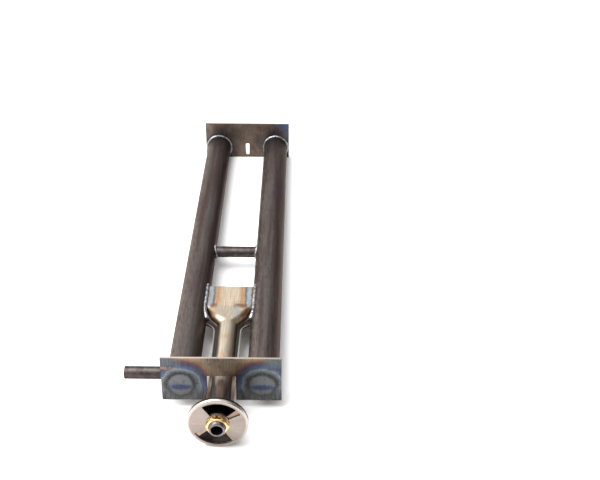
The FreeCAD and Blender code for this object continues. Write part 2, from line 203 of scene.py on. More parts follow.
def turned(name, outline, columns=128):
    # a closed (radius, y) outline turned about the Y axis
    rows = [[aboutY(radius, y, angle) for angle in ring(columns)] for radius, y in outline]
    return tidyMesh(gridObject(name, rows))


def flatPlate(name, outline, holes, front, back):
    # a sheet standing across the Y axis, from (x, z) outlines
    work = bmesh.new()
    edges = []
    for loop in [outline] + holes:
        spots = [work.verts.new((x * mm, front * mm, z * mm)) for x, z in loop]
        edges += [work.edges.new((spots[n - 1], spots[n])) for n in range(len(spots))]
    bmesh.ops.triangle_fill(work, use_beauty=True, edges=edges)
    made = bmesh.ops.extrude_face_region(work, geom=work.faces[:])
    moved = [part for part in made["geom"] if isinstance(part, bmesh.types.BMVert)]
    bmesh.ops.translate(work, verts=moved, vec=(0, (back - front) * mm, 0))
    bmesh.ops.recalc_face_normals(work, faces=work.faces)
    mesh = bpy.data.meshes.new(name)
    work.to_mesh(mesh)
    work.free()
    return linked(name, mesh)


def complete(piece, body, slot, material, *nodes, angle=34):
    piece.data.shade_smooth()
    piece.data.set_sharp_from_angle(angle=math.radians(angle))
    piece.data.materials.clear()
    piece.data.materials.append(material)
    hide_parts(*nodes)
    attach(piece, body)
    return piece


# Node helpers, for materials and for geometry alike

class Wire:
    # a socket that takes arithmetic
    def __init__(self, graph, socket):
        self.graph, self.socket = graph, socket

    def out(self, name):
        return Wire(self.graph, self.socket.node.outputs[name])

    def __add__(self, other):
        return self.graph.math("ADD", self, other)

    def __sub__(self, other):
        return self.graph.math("SUBTRACT", self, other)

    def __rsub__(self, other):
        return self.graph.math("SUBTRACT", other, self)

    def __mul__(self, other):
        return self.graph.math("MULTIPLY", self, other)

    def __truediv__(self, other):
        return self.graph.math("DIVIDE", self, other)

    def __rtruediv__(self, other):
        return self.graph.math("DIVIDE", other, self)

    def __pow__(self, other):
        return self.graph.math("POWER", self, other)

    def __abs__(self):
        return self.graph.math("ABSOLUTE", self)

    __radd__, __rmul__ = __add__, __mul__


class Graph:
    def __init__(self, tree):
        self.tree = tree

    def add(self, kind, settings=None, inputs=None, output=0):
        node = self.tree.nodes.new(kind)
        for key, setting in (settings or {}).items():
            if key == "stops":
                ramp = node.color_ramp
                while len(ramp.elements) < len(setting):
                    ramp.elements.new(0.5)
                for element, (place, colour) in zip(ramp.elements, setting):
                    element.position, element.color = place, (*colour, 1)
            else:
                setattr(node, key, setting)
        for key, given in (inputs or {}).items():
            if isinstance(given, Wire):
                self.tree.links.new(given.socket, node.inputs[key])
            else:
                node.inputs[key].default_value = given
        return Wire(self, node.outputs[output]) if len(node.outputs) else node

    def math(self, operation, first, second=0.0, clamp=False):
        return self.add("ShaderNodeMath", {"operation": operation, "use_clamp": clamp}, {0: first, 1: second})

    def smooth(self, given, low, high, bottom=0.0, top=1.0):
        # a soft step from bottom to top as the wire goes from low to high
        return self.add("ShaderNodeMapRange", {"interpolation_type": "SMOOTHSTEP"},
                        {"Value": given, "From Min": low, "From Max": high, "To Min": bottom, "To Max": top})

    def band(self, given, centre, half, soft):
        # 1 near a value, falling to 0 on both sides
        return self.smooth(abs(given - centre), half, half + soft, 1.0, 0.0)

    def blend(self, factor, first, second, mode="MIX"):
        pair = [colour if isinstance(colour, Wire) else (*colour, 1) for colour in (first, second)]
        return self.add("ShaderNodeMix", {"data_type": "RGBA", "blend_type": mode},
                        {0: factor, 6: pair[0], 7: pair[1]}, output=2)

    def layers(self, colour, *coats):
        # each tone laid over the last, as far as its mask goes
        for mask, tone in coats:
            colour = self.blend(mask, colour, tone)
        return colour

    def vector(self, operation, first, second=(0, 0, 0)):
        return self.add("ShaderNodeVectorMath", {"operation": operation}, {0: first, 1: second})

    def ramp(self, factor, stops):
        return self.add("ShaderNodeValToRGB", {"stops": stops}, {"Fac": factor})

    def noise(self, place, scale, detail=3.0, roughness=0.55, distortion=0.0):
        return self.add("ShaderNodeTexNoise", {}, {"Vector": place, "Scale": scale, "Detail": detail,
                                                   "Roughness": roughness, "Distortion": distortion})

    def drawn(self, place, x, y, z, detail, roughness, distortion=0.0):
        # noise with its own scale along each axis
        stretched = self.vector("MULTIPLY", place, (x, y, z))
        return self.noise(stretched, 1.0, detail, roughness, distortion)

    def finish(self, colour, rough, height, strength, distance):
        return {"Base Color": colour, "Roughness": rough, "Normal": self.bump(height, strength, distance)}

    def split(self, place):
        wire = self.add("ShaderNodeSeparateXYZ", {}, {0: place})
        return wire, wire.out("Y"), wire.out("Z")

    def place(self):
        # Object coordinates in millimetres
        spot = self.add("ShaderNodeTexCoord").out("Object")
        return self.vector("MULTIPLY", spot, (1000, 1000, 1000))

    def bump(self, height, strength, distance):
        return self.add("ShaderNodeBump", {}, {"Height": height, "Strength": strength,
                                               "Distance": distance * mm})


def makeMaterial(name, build, tone=1.0, **fixed):
    material = bpy.data.materials.new(name)
    material.use_nodes = True
    tree = material.node_tree
    tree.nodes.clear()
    graph = Graph(tree)
    surface = {"Metallic": 1.0, **fixed, **build(graph)}
    surface["Base Color"] = graph.blend(1.0, surface["Base Color"], (tone, tone, tone), "MULTIPLY")
    shader = graph.add("ShaderNodeBsdfPrincipled", {}, surface)
    graph.add("ShaderNodeOutputMaterial", {}, {"Surface": shader})
    return material


# Materials

tubeLook = {
    "grey": (0.142, 0.126, 0.120), "brown": (0.092, 0.070, 0.064), "violet": (0.098, 0.066, 0.070),
    "dark": (0.040, 0.033, 0.031), "scuffAndPaintedSheen": (0.40, 0.35, 0.30), "halo": (0.030, 0.034, 0.048),
    "rust": (0.150, 0.075, 0.060), "heatFrom": 16.0, "heatTo": 2.0,
    "fixed": {"Metallic": 0.9, "Specular Tint": (0.42, 0.38, 0.37, 1)},
}


def tubeSteelLook(graph):
    look, smooth = tubeLook, graph.smooth
    place = graph.place()
    x, y, z = graph.split(place)
    long = graph.drawn(place, 0.16, 0.006, 0.16, 4.0, 0.6)
    patch = graph.drawn(place, 0.05, 0.012, 0.05, 3.0, 0.5, 0.6)
    fine = graph.drawn(place, 0.9, 0.11, 0.9, 4.0, 0.7, 0.3)
    speck = graph.drawn(place, 0.7, 0.30, 0.7, 5.0, 0.75)
    scuffs = smooth(speck, 0.58, 0.72) * smooth(long, 0.40, 0.62)
    left = smooth(x, -1.0, 1.0, -tubeX, tubeX) - x  # how far left of its own tube's axis
    # painted highlight: a speckled pale strip along each tube's upper left side, where the key light falls; it
    # shares the pale colour of the random scuffs
    paleStrip = smooth(z * 0.4 + left, 10.0, 19.0) * graph.band(left, 11.0, 5.5, 0.5)
    paleStrip = paleStrip * smooth(fine + (speck - 0.5) * 0.6, 0.46, 0.62)
    ends = graph.math("MINIMUM", y - tubeStart, tubeEnd - y)
    heat = smooth(ends + (patch - 0.5) * 9, look["heatTo"], look["heatFrom"], 1.0, 0.0)
    colour = graph.layers(
        look["brown"], (smooth(long, 0.36, 0.64), look["grey"]),
        (smooth(patch, 0.52, 0.72) * 0.7, look["violet"]), (smooth(fine, 0.52, 0.30) * 0.6, look["dark"]),
        (graph.math("MAXIMUM", scuffs * 0.32, paleStrip * 0.55), look["scuffAndPaintedSheen"]),
        (smooth(patch, 0.40, 0.30) * smooth(speck, 0.48, 0.60) * 0.6, look["rust"]),
        (heat * 0.8, look["halo"]))
    rough = 0.40 + (fine - 0.5) * 0.30 + (patch - 0.5) * 0.18
    height = fine * 0.6 + speck * 0.4
    return graph.finish(colour, rough, height, 0.25, 0.12)


plateTop = nodeBox("front_plate")[1].z
plateLook = {
    "axis": tubeX, "height": tubeZ + 3.0, "reach": 40.0,
    "stops": (  # heat colours by distance from just above a tube's axis, as a share of reach
        (0.00, (0.118, 0.122, 0.130)), (0.27, (0.112, 0.116, 0.124)), (0.33, (0.060, 0.058, 0.056)),
        (0.40, (0.094, 0.098, 0.104)), (0.455, (0.108, 0.120, 0.138)), (0.485, (0.165, 0.190, 0.222)),
        (0.520, (0.082, 0.104, 0.148)), (0.60, (0.058, 0.070, 0.112)), (0.665, (0.072, 0.056, 0.082)),
        (0.72, (0.130, 0.072, 0.066)), (0.78, (0.235, 0.150, 0.092)), (0.88, (0.300, 0.228, 0.170)),
        (1.00, (0.330, 0.270, 0.215))),
    "ring": (0.040, 0.036, 0.032), "core": (0.030, 0.040, 0.086), "teal": (0.080, 0.102, 0.122),
    "blush": (0.250, 0.165, 0.125), "lower": (0.088, 0.088, 0.088), "rearDark": (0.070, 0.052, 0.044),
    "rearBrown": (0.160, 0.122, 0.100), "rearBlue": (0.050, 0.095, 0.170), "shearedEdgeAndPaintedSheen": (0.55, 0.46, 0.38),
    "streaks": ((0.74, 0.73, 0.71), (1.20, 1.19, 1.17)),
    "rearStreaks": ((0.70, 0.69, 0.68), (1.15, 1.14, 1.12)),
}


def plateSteelLook(graph):
    look, smooth, blend, band = plateLook, graph.smooth, graph.blend, graph.band
    place = graph.place()
    x, y, z = graph.split(place)
    wobble = graph.drawn(place, 0.10, 0.0, 0.12, 2.0, 0.5)
    ripple = graph.drawn(place, 0.42, 0.0, 0.42, 4.0, 0.65)
    brush = graph.drawn(place, 1.3, 0.5, 0.06, 4.0, 0.65)
    cloud = graph.drawn(place, 0.06, 0.05, 0.06, 3.0, 0.55, 0.5)
    grime = graph.drawn(place, 0.20, 0.1, 0.13, 4.0, 0.65, 0.6)
    front = smooth(y, tubeStart + 20, tubeStart + 60, 1.0, 0.0)
    back = 1 - front
    edge = abs(x)
    across, rise = edge - look["axis"], z - look["height"]
    away = graph.math("SQRT", across * across + rise * rise) + (wobble - 0.5) * 5.0 + (ripple - 0.5) * 3.4

    # heat rings round each tube, duller low on the front plate
    edgeRing = band(away + (ripple - 0.5) * 4.5, 14.2, 0.7, 2.2)
    upper = smooth(rise + (cloud - 0.5) * 16, -7.0, 4.0, 0.15, 1.0) * smooth(grime, 0.66, 0.42, 0.35, 1.0)
    lowGrey = smooth(rise + (ripple - 0.5) * 12, -1.0, -11.0) * smooth(away, 13.0, 18.0, 0.3, 1.0) * front
    low = rise + 3.0
    lens = graph.math("SQRT", across * across * 0.082 + low * low) + (ripple - 0.5) * 4.2 + (brush - 0.5) * 1.6
    top = z + (cloud - 0.5) * 8.0
    colour = graph.layers(
        graph.ramp(away / look["reach"], look["stops"]), (edgeRing * upper * 0.85, look["ring"]),
        (lowGrey * 0.8, blend(smooth(brush, 0.42, 0.60), look["ring"], look["lower"])),
        (smooth(lens, 1.6, 4.8, 0.90, 0.0) * front, look["core"]),
        (smooth(edge, 34.0, 50.0) * smooth(top, 21.0, 25.5) * 0.9 * front, look["teal"]),
        (smooth(x, -42.0, -52.0) * band(top, 21.5, 0.9, 1.4) * 0.75 * front, look["blush"]),
        (smooth(grime, 0.55, 0.70) * 0.45, look["ring"]))
    streak = smooth(brush, 0.34, 0.70)
    colour = blend(smooth(away, 17.0, 26.0, 0.35, 0.95), colour, blend(streak, *look["streaks"]), "MULTIPLY")

    # the rear plate is browner, and blue in one top corner
    rearTone = smooth(cloud + (ripple - 0.5) * 0.3, 0.28, 0.78, 0.1, 1.0) * smooth(away, 15.0, 26.0, 0.35, 1.0)
    rearTone = graph.math("MAXIMUM", rearTone, smooth(away, 14.0, 10.0) * 0.75)
    colour = blend(back * 0.86, colour, blend(rearTone, look["rearDark"], look["rearBrown"]))
    colour = blend(back * 0.7, colour, blend(streak, *look["rearStreaks"]), "MULTIPLY")
    blue = smooth(x + z * 1.2 + (cloud - 0.5) * 30, 66.0, 92.0) * back
    colour = graph.layers(colour, (blue * 0.85, look["rearBlue"]),
                          # a pale strip along the plates' top edges: bare sheared metal, and a painted
                          # highlight where the top faces the light
                          (smooth(z, plateTop - 0.5, plateTop - 0.2, 0.0, 0.8), look["shearedEdgeAndPaintedSheen"]))
    rough = 0.40 + (brush - 0.5) * 0.28 + edgeRing * 0.15
    height = brush * 0.6 + ripple * 0.4
    return graph.finish(colour, rough, height, 0.22, 0.10)


venturiLook = {
    "cream": (0.74, 0.61, 0.47), "tan": (0.60, 0.37, 0.215), "steel": (0.44, 0.50, 0.54),
    "line": (0.13, 0.17, 0.19), "brown": (0.26, 0.16, 0.10), "throat": (0.62, 0.54, 0.43),
    "dark": (0.045, 0.042, 0.040), "copper": (0.23, 0.085, 0.035), "amber": (0.27, 0.19, 0.12),
    "neck": (0.235, 0.190, 0.165), "edge": (0.60, 0.59, 0.57), "blush": (0.58, 0.33, 0.19),
    "singed": (0.30, 0.155, 0.085), "streaks": ((0.70, 0.69, 0.68), (1.10, 1.09, 1.07)),
    "boxBands": ((0.0, "cream"), (0.34, "cream"), (0.44, "tan"), (0.57, "tan"), (0.645, "line"),
                 (0.71, "steel"), (0.82, "steel"), (0.87, "brown"), (1.0, "brown")),
    "pipeLightAndShade": ((0.0, "throat"), (0.46, "throat"), (0.58, "amber"), (0.68, "dark"), (1.0, "dark")),
}
flange = {"half": 13.0, "fromY": 37, "flareY": 148, "flareHalf": 14.2, "flareRadius": 14.0,
          "flareReach": 13.6}


def venturiSteelLook(graph):
    look, smooth, blend, band = venturiLook, graph.smooth, graph.blend, graph.band
    place = graph.place()
    x, y, z = graph.split(place)
    brush = graph.drawn(place, 1.3, 0.04, 1.3, 4.0, 0.6)
    cloud = graph.drawn(place, 0.08, 0.05, 0.08, 3.0, 0.5, 0.5)
    grain = graph.drawn(place, 0.7, 0.7, 0.7, 4.0, 0.6)
    lines = graph.drawn(place, 0.03, 0.9, 0.1, 3.0, 0.6)
    away, drift = abs(x), cloud - 0.5
    boxBands, pipeLightAndShade = ([(share, look[tone]) for share, tone in look[key]]
                           for key in ("boxBands", "pipeLightAndShade"))

    # the round pipe: painted shade on its sides, a painted highlight along the top, brown by the mixer
    spread = away + (brush - 0.5) * 1.5 - graph.math("MAXIMUM", y - 156.0, 0.0) * 0.75
    rust = smooth(cloud + (grain - 0.5) * 0.4, 0.52, 0.68) * smooth(y, 84.0, 100.0)
    pipe = graph.layers(
        graph.ramp(spread / 16.0, pipeLightAndShade), (rust * smooth(spread, 8.0, 4.0) * 0.55, look["blush"]),
        (smooth(y, 64.0, 78.0, 0.9, 0.0), blend(smooth(away, 9.5, 13.0), look["neck"], look["amber"])))

    # the flat box: bands along it, then the bare flange edge and the marks of the welding
    side = away + drift * 3.5 + (grain - 0.5) * 2.6
    past = graph.math("MINIMUM", graph.math("MAXIMUM", y - flange["flareY"], 0.0), 13.5)
    flare = flange["flareRadius"] - graph.math("SQRT", flange["flareRadius"] ** 2 - past * past)
    rim = flange["half"] + (y - flange["fromY"]) * 0.0108 + flare
    paleStrip = smooth(away - rim, -1.3, -0.5) * smooth(y, 158.0, 164.0, 1.0, 0.0)
    paleStrip = paleStrip * smooth(y, 66.0, 80.0, 0.15, 1.0)
    burn = band(y + drift * 8, 184.5, 1.5, 4.5)
    right = smooth(x, 2.0, 9.0) * smooth(x, 17.0, 21.0, 1.0, 0.0)
    left = band(x, -17.0, 2.0, 3.0)
    dome = band(y + drift * 10, 174.0, 6.0, 5.0)
    flank = smooth(away + drift * 8 - (y - 168.0) * 0.5, 9.5, 15.0)
    raised = smooth(abs(z), 2.0, 3.6)  # not the flanges
    colour = graph.layers(
        pipe, (smooth(y + drift * 14, 176.0, 190.0), graph.ramp(side / 27.0, boxBands)),
        (paleStrip * 0.85, look["edge"]), (burn * (right + left * 0.8) * 0.8, look["copper"]),
        (dome * flank * raised * 0.8, look["singed"]),
        (dome * band(x + drift * 6, 8.0, 1.5, 4.0) * 0.55, look["steel"]),
        (smooth(lines, 0.60, 0.70) * smooth(y, 160.0, 185.0) * 0.35, look["brown"]))
    colour = blend(0.8, colour, blend(smooth(brush, 0.35, 0.68), *look["streaks"]), "MULTIPLY")
    rough = 0.36 + (brush - 0.5) * 0.25 + (grain - 0.5) * 0.15
    return graph.finish(colour, rough, grain * 0.5 + brush * 0.5, 0.2, 0.1)


weldLook = {"bright": (0.74, 0.76, 0.79), "dull": (0.20, 0.20, 0.215), "straw": (0.36, 0.28, 0.20)}


def weldMetalLook(graph):
    look, smooth = weldLook, graph.smooth
    place = graph.place()
    mottle = graph.noise(place, 0.55, 4.0, 0.6)
    spot = graph.noise(place, 0.16, 2.0, 0.5)
    patch = graph.noise(place, 0.11, 3.0, 0.6)
    colour = graph.layers(
        look["dull"], (smooth(mottle + (patch - 0.5) * 0.7, 0.38, 0.60), look["bright"]),
        (smooth(spot, 0.56, 0.70) * 0.6, look["straw"]))
    return graph.finish(colour, 0.42 + (mottle - 0.5) * 0.3, mottle, 0.2, 0.10)


shutterLook = {"plate": (0.42, 0.355, 0.315), "deep": (0.33, 0.275, 0.245), "rose": (0.40, 0.30, 0.275),
               "green": (0.33, 0.335, 0.26), "rim": (0.70, 0.64, 0.58), "spokes": 2.2}


def polar(graph, place):
    x, y, z = graph.split(place)
    return graph.math("ARCTAN2", z, x), graph.math("SQRT", x * x + z * z)


def shutterSteelLook(graph):
    look, smooth = shutterLook, graph.smooth
    place = graph.place()
    angle, radius = polar(graph, place)
    spokes = graph.add("ShaderNodeCombineXYZ", {}, {0: graph.math("COSINE", angle) * look["spokes"],
                                                   1: graph.math("SINE", angle) * look["spokes"], 2: 0.0})
    fan = graph.noise(spokes, 0.55, 3.0, 0.55)
    cloud = graph.noise(place, 0.09, 3.0, 0.5)
    scratch = graph.drawn(place, 1.4, 0.3, 0.35, 4.0, 0.65)
    colour = graph.layers(
        look["deep"], (smooth(fan, 0.38, 0.62), look["plate"]), (smooth(cloud, 0.50, 0.66) * 0.5, look["rose"]),
        # painted highlight: a pale band round the turned-back rim, where its curve faces the overhead light
        (smooth(cloud, 0.46, 0.34) * 0.35, look["green"]), (smooth(radius, 25.6, 27.4) * 0.85, look["rim"]))
    rough = 0.26 + (scratch - 0.5) * 0.22 + (fan - 0.5) * 0.10
    return graph.finish(colour, rough, scratch, 0.15, 0.05)


mixerLook = {"low": (0.30, 0.215, 0.17), "high": (0.46, 0.37, 0.31), "rough": 0.36}
bellLook = {"low": (0.045, 0.040, 0.038), "high": (0.115, 0.100, 0.090), "rough": 0.46}
fittingLook = {"low": (0.155, 0.145, 0.140), "high": (0.245, 0.205, 0.260), "rough": 0.34,
               "bore": (0.070, 0.072, 0.060)}
temperedLook = {"low": (0.36, 0.19, 0.085), "high": (0.74, 0.52, 0.25), "rough": 0.26}
brassLook = {"low": (0.70, 0.43, 0.17), "high": (0.98, 0.78, 0.42), "rough": 0.20}


def clouded(graph, look, cloud, edge=0.36):
    # from the low tone to the high one as the noise rises
    return graph.blend(graph.smooth(cloud, edge, 1 - edge), look["low"], look["high"])


def mixerSteelLook(graph):
    place = graph.place()
    scratch = graph.drawn(place, 1.2, 0.3, 0.5, 4.0, 0.6)
    colour = clouded(graph, mixerLook, graph.noise(place, 0.12, 3.0, 0.5), 0.38)
    return graph.finish(colour, mixerLook["rough"] + (scratch - 0.5) * 0.3, scratch, 0.2, 0.06)


def bellSteelLook(graph):
    place = graph.place()
    grain = graph.noise(place, 1.1, 4.0, 0.6)
    colour = clouded(graph, bellLook, graph.noise(place, 0.10, 3.0, 0.5))
    return graph.finish(colour, bellLook["rough"] + (grain - 0.5) * 0.3, grain, 0.35, 0.15)


def fittingSteelLook(graph):
    place = graph.place()
    radius = polar(graph, place)[1]
    lathe = graph.drawn(place, 0.1, 5.0, 0.1, 3.0, 0.6)
    colour = clouded(graph, fittingLook, graph.noise(place, 0.2, 3.0, 0.5))
    # painted shade: the inside of the bore is darkened to a greenish grey
    colour = graph.blend(1 - graph.smooth(radius, 5.3, 5.9), colour, fittingLook["bore"])
    return graph.finish(colour, fittingLook["rough"] + (lathe - 0.5) * 0.3, lathe, 0.2, 0.05)


def temperedSteelLook(graph):  # spring steel tempered to straw and brown
    place = graph.place()
    grain = graph.noise(place, 1.6, 3.0, 0.6)
    colour = clouded(graph, temperedLook, graph.noise(place, 0.35, 3.0, 0.55))
    return graph.finish(colour, temperedLook["rough"] + (grain - 0.5) * 0.2, grain, 0.15, 0.05)


def turnedBrassLook(graph):
    place = graph.place()
    rings = graph.add("ShaderNodeTexWave", {"wave_type": "RINGS", "rings_direction": "Y"},
                      {"Vector": place, "Scale": 0.5, "Distortion": 0.3, "Detail": 2.0}, output=1)
    cloud = graph.noise(place, 0.22, 3.0, 0.5)
    rough = brassLook["rough"] + (cloud - 0.5) * 0.16
    return graph.finish(clouded(graph, brassLook, cloud), rough, rings * 0.6 + cloud * 0.4, 0.18, 0.06)


tubeSteel = makeMaterial("tubeSteel", tubeSteelLook, 0.84, **tubeLook["fixed"])
# painted shade: the small pipes take a darker copy of the tube steel, standing in for their dimmer reflections
shadedPipeSteel = makeMaterial("shadedPipeSteel", tubeSteelLook, 0.55, **tubeLook["fixed"])
plateSteel = makeMaterial("plateSteel", plateSteelLook, 0.95)
venturiSteel = makeMaterial("venturiSteel", venturiSteelLook, 0.86)
weldMetal = makeMaterial("weldMetal", weldMetalLook, 0.62)
shutterSteel = makeMaterial("shutterSteel", shutterSteelLook, 0.70)
mixerSteel = makeMaterial("mixerSteel", mixerSteelLook, 0.8)
bellSteel = makeMaterial("bellSteel", bellSteelLook, 0.4)
fittingSteel = makeMaterial("fittingSteel", fittingSteelLook, 0.85)
temperedSteel = makeMaterial("temperedSteel", temperedSteelLook)
brass = makeMaterial("brass", turnedBrassLook, 0.85)
print("materials: %d" % len(bpy.data.materials))


# Geometry Nodes helpers

def newTree(name, *sizes, counts=()):
    tree = bpy.data.node_groups.new(name, "GeometryNodeTree")
    kinds = {"Geometry": "Geometry", **dict.fromkeys(sizes, "Float"), **dict.fromkeys(counts, "Int"),
             "Material": "Material"}
    for label, kind in kinds.items():
        tree.interface.new_socket(label, in_out="INPUT", socket_type="NodeSocket" + kind)
    tree.interface.new_socket("Geometry", in_out="OUTPUT", socket_type="NodeSocketGeometry")
    graph = Graph(tree)
    return tree, graph, graph.add("NodeGroupInput")


def endTree(graph, geometry, given):
    shown = graph.add("GeometryNodeRealizeInstances", {}, {0: geometry})
    shown = graph.add("GeometryNodeSetMaterial", {}, {"Geometry": shown, "Material": given.out("Material")})
    graph.add("NodeGroupOutput", {}, {0: shown})


def withTree(piece, tree, settings):
    modifier = piece.modifiers.new(tree.name, "NODES")
    modifier.node_group = tree
    sockets = {item.name: item.identifier for item in tree.interface.items_tree if item.in_out == "INPUT"}
    for label, given in settings.items():
        modifier[sockets[label]] = given
    return applied(piece)


# Burner tubes, with two rows of ports low on their sides

ports = {"Port Diameter": 1.6 * mm, "Port Spacing": 8 * mm, "Port Count": 60, "Lean": math.radians(50)}
firstPort = 30 * mm  # from the tube's front end
tubeMesh = {"columns": 96, "rowStep": 8.0, "drillColumns": 12, "holeColumns": 48}
feed = {"length": 27.0, "margin": 3.5, "half": 4.5}  # the slot from the venturi's box into each tube


def portTree():
    tree, graph, given = newTree("burnerPorts", "Centre X", "Centre Z", "First Y", "Radius", "Port Diameter",
                                 "Port Spacing", "Lean", counts=["Port Count"])
    drill = graph.add("GeometryNodeMeshCylinder", {}, {
        "Vertices": tubeMesh["drillColumns"], "Radius": given.out("Port Diameter") / 2,
        "Depth": given.out("Radius")})
    step = graph.add("ShaderNodeCombineXYZ", {}, {1: given.out("Port Spacing")})
    rows = graph.add("GeometryNodeJoinGeometry")
    for side in (-1, 1):
        lean = given.out("Lean") * side
        out = given.out("Radius")
        start = graph.add("ShaderNodeCombineXYZ", {}, {
            0: given.out("Centre X") + out * graph.math("SINE", lean), 1: given.out("First Y"),
            2: given.out("Centre Z") - out * graph.math("COSINE", lean)})
        line = graph.add("GeometryNodeMeshLine", {"mode": "OFFSET"}, {
            "Count": given.out("Port Count"), "Start Location": start, "Offset": step})
        turn = graph.add("ShaderNodeCombineXYZ", {}, {1: lean * -1})
        row = graph.add("GeometryNodeInstanceOnPoints", {}, {
            "Points": line, "Instance": drill, "Rotation": turn})
        graph.tree.links.new(row.socket, rows.socket.node.inputs[0])
    drills = graph.add("GeometryNodeRealizeInstances", {}, {0: rows})
    drilled = graph.add("GeometryNodeMeshBoolean", {"operation": "DIFFERENCE", "solver": "MANIFOLD"}, {
        "Mesh 1": given, "Mesh 2": drills})
    endTree(graph, drilled, given)
    return tree


def drillAcross(name, ends, y):
    # a bar along X, as wide as a small pipe's bore
    rows = [[(x, y + pipeBore * math.cos(angle), tubeZ + pipeBore * math.sin(angle))
             for angle in ring(tubeMesh["holeColumns"])] for x in sorted(ends)]
    return tidyMesh(gridObject(name, rows, loopRows=False, caps=True))


def block(name, low, high):
    spots = [(x, y, z) for x in (low[0], high[0]) for y in (low[1], high[1]) for z in (low[2], high[2])]
    return newObject(name, spots, [(0, 1, 3, 2), (4, 6, 7, 5), (0, 4, 5, 1), (2, 3, 7, 6), (0, 2, 6, 4),
                                   (1, 5, 7, 3)])


drillTree = portTree()
for side, body in ((-1, "left"), (1, "right")):
    centre = side * tubeX
    count = int((tubeEnd - tubeStart) / tubeMesh["rowStep"])
    along = [tubeStart + (tubeEnd - tubeStart) * number / count for number in range(count + 1)]
    section = [(tubeRadius, y) for y in along] + [(tubeRadius - tubeWall, y) for y in reversed(along)]
    rows = [[aboutY(radius, y, angle, centre, tubeZ) for angle in ring(tubeMesh["columns"])]
            for radius, y in section]
    tube = tidyMesh(gridObject(body + "BurnerTube", rows))
    inner = side * (tubeX - tubeRadius)
    reach = (inner - 2 * side, inner + 4 * side)  # from clear of the wall to inside the tube
    tube = cutBy(tube, drillAcross("crossHole", reach, crossY))
    feedEnd = boxEnd - feed["margin"]
    tube = cutBy(tube, tidyMesh(block("feedHole", (min(reach), feedEnd - feed["length"], -feed["half"]),
                                      (max(reach), feedEnd, feed["half"]))))
    if side < 0:
        outer = -tubeX - tubeRadius
        tube = cutBy(tube, drillAcross("lighterHole", (outer - 2, outer + 4), lighterY))
    tube = withTree(tube, drillTree, {
        **ports, "Centre X": centre * mm, "Centre Z": tubeZ * mm, "Radius": tubeRadius * mm,
        "First Y": tubeStart * mm + firstPort, "Material": tubeSteel})
    complete(tube, "burner", "tube_steel", tubeSteel, body + "_tube", angle=25)
print("burner tubes")


# End plates

plates = {"edge": 0.28, "foot": 0.5, "top": 0.7, "notchCorner": 1.0, "notchWide": 27.9, "notchHigh": 29.8,
          "slotWide": 5.2, "slotTall": 18.0, "slotLift": 3.2, "slotCorner": 2.4}
foot, top = plates["foot"], plates["top"]  # corner sizes


def standingPlate(name, outline, holes, low, high):
    piece = flatPlate(name, rounded(outline, steps=3), holes, low.y, high.y)
    return bevelled(piece, plates["edge"], 3)


frontLow, frontHigh = nodeBox("front_plate")
rearLow, rearHigh = nodeBox("rear_plate")
half = plates["notchWide"] / 2
notchTop, notchCorner = frontLow.z + plates["notchHigh"], plates["notchCorner"]
frontPlate = standingPlate("frontPlate", [
    (frontLow.x, frontLow.z, foot), (-half, frontLow.z, foot), (-half, notchTop, notchCorner),
    (half, notchTop, notchCorner), (half, frontLow.z, foot), (frontHigh.x, frontLow.z, foot),
    (frontHigh.x, frontHigh.z, top), (frontLow.x, frontHigh.z, top)], [], frontLow, frontHigh)
complete(frontPlate, "burner", "plate_steel", plateSteel, "front_plate")

slotLow = rearLow.z + plates["slotLift"]
slotHigh, slotHalf, bend = slotLow + plates["slotTall"], plates["slotWide"] / 2, plates["slotCorner"]
slotOutline = rounded([(-slotHalf, slotLow, bend), (slotHalf, slotLow, bend), (slotHalf, slotHigh, bend),
                       (-slotHalf, slotHigh, bend)], steps=8)
rearPlate = standingPlate("rearPlate", [
    (rearLow.x, rearLow.z, foot), (rearHigh.x, rearLow.z, foot), (rearHigh.x, rearHigh.z, top),
    (rearLow.x, rearHigh.z, top)], [slotOutline], rearLow, rearHigh)
complete(rearPlate, "burner", "plate_steel", plateSteel, "rear_plate")
print("end plates")


# Cross tube and lighter tube, coped to the burner tubes

def tubeFace(rise, radius=tubeRadius):
    # how far a burner tube's surface stands from its axis, at a height above that axis
    return math.sqrt(radius ** 2 - rise ** 2)


pipes = {"lip": 0.25, "columns": 64, "shares": (0, 0.02, 0.98, 1)}


def smallPipe(name, endAt, startAt, y):
    # endAt and startAt give the x of each end for a height above the axis
    outline = [(pipeRadius, share) for share in pipes["shares"]] + [(pipeBore, 1), (pipeBore, 0)]
    rows = []
    for radius, share in outline:
        row = []
        for angle in ring(pipes["columns"]):
            rise = radius * math.sin(angle)
            first, last = startAt(rise), endAt(rise)
            row.append((first + (last - first) * share, y + radius * math.cos(angle), tubeZ + rise))
        rows.append(row)
    return bevelled(tidyMesh(gridObject(name, rows)), pipes["lip"], 3, 40)


crossPipe = smallPipe("crossPipe", lambda rise: tubeX - tubeFace(rise),
                      lambda rise: tubeFace(rise) - tubeX, crossY)
complete(crossPipe, "burner", "tube_steel", shadedPipeSteel, "cross_tube")
lighterPipe = smallPipe("lighterPipe", lambda rise: -tubeX - tubeFace(rise),
                        lambda rise: lighterEnd, lighterY)
complete(lighterPipe, "burner", "tube_steel", shadedPipeSteel, "lighter_tube")
print("small pipes")


# Venturi: two stampings, skinned through sections and pressed round a flange

